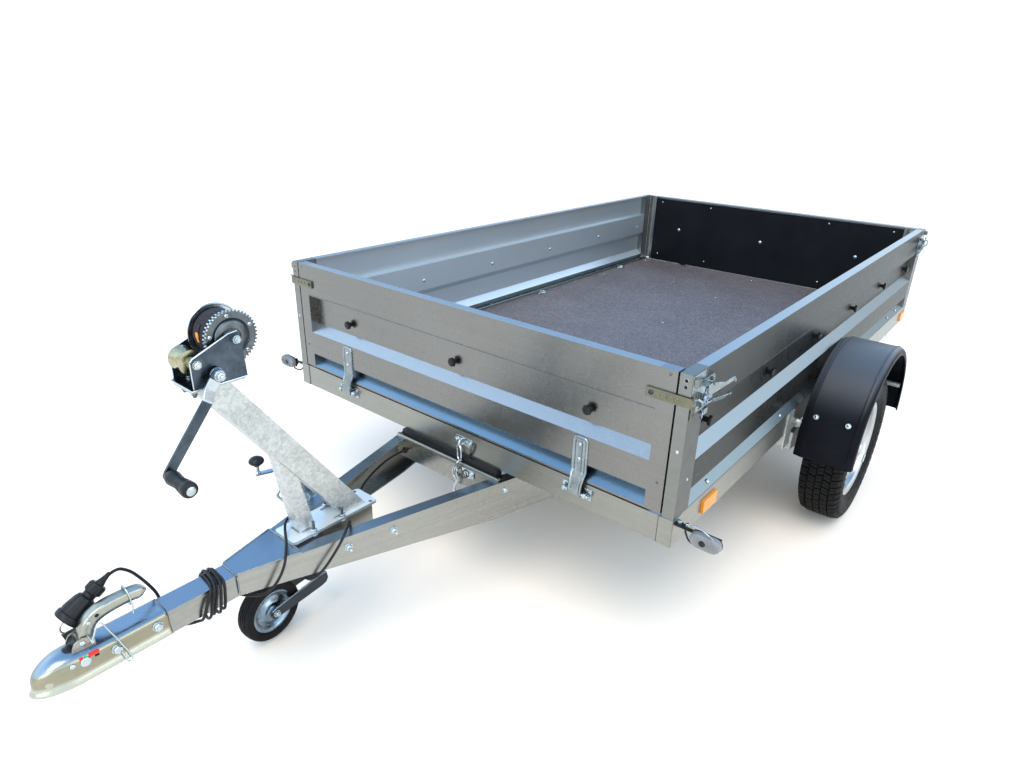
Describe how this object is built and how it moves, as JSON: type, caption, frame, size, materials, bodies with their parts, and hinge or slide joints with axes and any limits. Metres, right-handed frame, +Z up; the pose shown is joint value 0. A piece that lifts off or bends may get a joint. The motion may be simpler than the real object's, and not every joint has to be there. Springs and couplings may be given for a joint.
{
  "type": "utility trailer",
  "caption": "Small tipping utility trailer with pressed galvanised box, A-frame drawbar, hand winch on a post, jockey wheel and ball coupling.",
  "frame": {"origin": "middle of the bounding box at ground level, on the trailer's centre plane", "axes": "+X forward to the coupling, +Y to the trailer's left, +Z up"},
  "size_m": [3.73, 1.958, 1.044],
  "materials": {
    "galvanised": "hot-dip and strip galvanised steel with spangle",
    "yellow_zinc": "yellow passivated zinc",
    "blue_zinc": "blue passivated zinc, darkened",
    "silver_rim": "silver lacquered steel",
    "tyre": "black rubber with block tread",
    "rubber_pad": "black rubber",
    "lead_sheath": "black flexible sheath",
    "black_plastic": "satin black plastic",
    "strap": "black webbing",
    "clear_lens": "clear ribbed plastic",
    "red_lens": "red ribbed plastic",
    "amber_lens": "amber prismatic plastic",
    "blank_plate": "plain white plate without characters",
    "board": "dark film-faced plywood",
    "dark_paint": "dark grey paint"
  },
  "bodies": {
    "drawbar": {"drawbar_frame": "galvanised", "bed_rest_strip": "rubber_pad", "axle_beam": "galvanised", "trailing_arms": "galvanised", "coupling_head": "yellow_zinc", "coupling_handle": "yellow_zinc", "plug_holder": "galvanised", "winch_post": "galvanised", "winch_post_foot": "galvanised", "winch_frame": "blue_zinc", "winch_guide_roller": "yellow_zinc", "jockey_clamp": "galvanised", "jockey_outer_tube": "galvanised", "lead_rear": "lead_sheath", "lead_front": "lead_sheath", "lead_coil": "lead_sheath", "lead_plug": "black_plastic"},
    "left_wheel": {"left_wheel_tyre": "tyre", "left_wheel_rim": "silver_rim", "left_wheel_hub": "silver_rim"},
    "right_wheel": {"right_wheel_tyre": "tyre", "right_wheel_rim": "silver_rim", "right_wheel_hub": "silver_rim"},
    "winch_drum": {"winch_drum": "blue_zinc", "winch_strap": "strap"},
    "winch_crank": {"winch_crank": "blue_zinc", "winch_crank_grip": "black_plastic"},
    "jockey_leg": {"jockey_inner_tube": "galvanised"},
    "jockey_fork": {"jockey_fork": "dark_paint"},
    "jockey_wheel": {"jockey_wheel_hub": "silver_rim", "jockey_wheel_tyre": "tyre"},
    "jockey_crank": {"jockey_crank": "blue_zinc", "jockey_crank_knob": "black_plastic"},
    "bed": {"bed_frame": "galvanised", "floor_board": "board", "left_side_panel": "galvanised", "right_side_panel": "galvanised", "front_left_post": "galvanised", "front_right_post": "galvanised", "rear_left_post": "galvanised", "rear_right_post": "galvanised", "hinge_pins": "galvanised", "corner_latches": "galvanised", "left_fender": "black_plastic", "right_fender": "black_plastic", "fender_stays": "galvanised", "front_lamps": "clear_lens", "front_lamp_arms": "black_plastic", "side_reflectors": "amber_lens", "rear_light_board": "galvanised", "rear_lamps": "red_lens", "number_plate": "blank_plate", "bed_lock_chain": "galvanised"},
    "front_panel": {"front_panel": "galvanised", "front_panel_hinges": "galvanised", "front_panel_straps": "galvanised"},
    "tailgate": {"tailgate_panel": "galvanised", "tailgate_board": "board", "tailgate_hinges": "galvanised", "tailgate_straps": "galvanised"}
  },
  "joints": [
    {"name": "left_wheel_spin", "type": "hinge", "parent": "drawbar", "child": "left_wheel", "pos_m": [-0.525, 0.8775, 0.281], "axis": [0, 1, 0], "continuous": true},
    {"name": "right_wheel_spin", "type": "hinge", "parent": "drawbar", "child": "right_wheel", "pos_m": [-0.525, -0.8775, 0.281], "axis": [0, 1, 0], "continuous": true},
    {"name": "bed_tip", "type": "hinge", "parent": "drawbar", "child": "bed", "pos_m": [-0.705, 0, 0.424], "axis": [0, -1, 0], "range_deg": [0, 16]},
    {"name": "front_panel_fold", "type": "hinge", "parent": "bed", "child": "front_panel", "pos_m": [0.707, 0, 0.486], "axis": [0, 1, 0], "range_deg": [0, 74]},
    {"name": "tailgate_fold", "type": "hinge", "parent": "bed", "child": "tailgate", "pos_m": [-1.857, 0, 0.486], "axis": [0, -1, 0], "range_deg": [0, 180]},
    {"name": "winch_drum_spin", "type": "hinge", "parent": "drawbar", "child": "winch_drum", "pos_m": [1.364, 0, 0.984], "axis": [0, 1, 0], "continuous": true},
    {"name": "winch_crank_turn", "type": "hinge", "parent": "drawbar", "child": "winch_crank", "pos_m": [1.418, 0, 0.922], "axis": [0, 1, 0], "continuous": true},
    {"name": "jockey_raise", "type": "slide", "parent": "drawbar", "child": "jockey_leg", "axis": [0, 0, 1], "range_m": [0, 0.09]},
    {"name": "jockey_swivel", "type": "hinge", "parent": "jockey_leg", "child": "jockey_fork", "pos_m": [1.117, -0.168, 0.1], "axis": [0, 0, 1], "continuous": true},
    {"name": "jockey_wheel_spin", "type": "hinge", "parent": "jockey_fork", "child": "jockey_wheel", "pos_m": [1.2773, -0.15296, 0.092], "axis": [-0.0934, 0.9956, 0], "continuous": true},
    {"name": "jockey_crank_turn", "type": "hinge", "parent": "drawbar", "child": "jockey_crank", "pos_m": [1.117, -0.168, 0.495], "axis": [0, 0, 1], "continuous": true}
  ],
  "couplings": [
    {"joint": "winch_crank_turn", "follows": "winch_drum_spin", "ratio": -4}
  ]
}
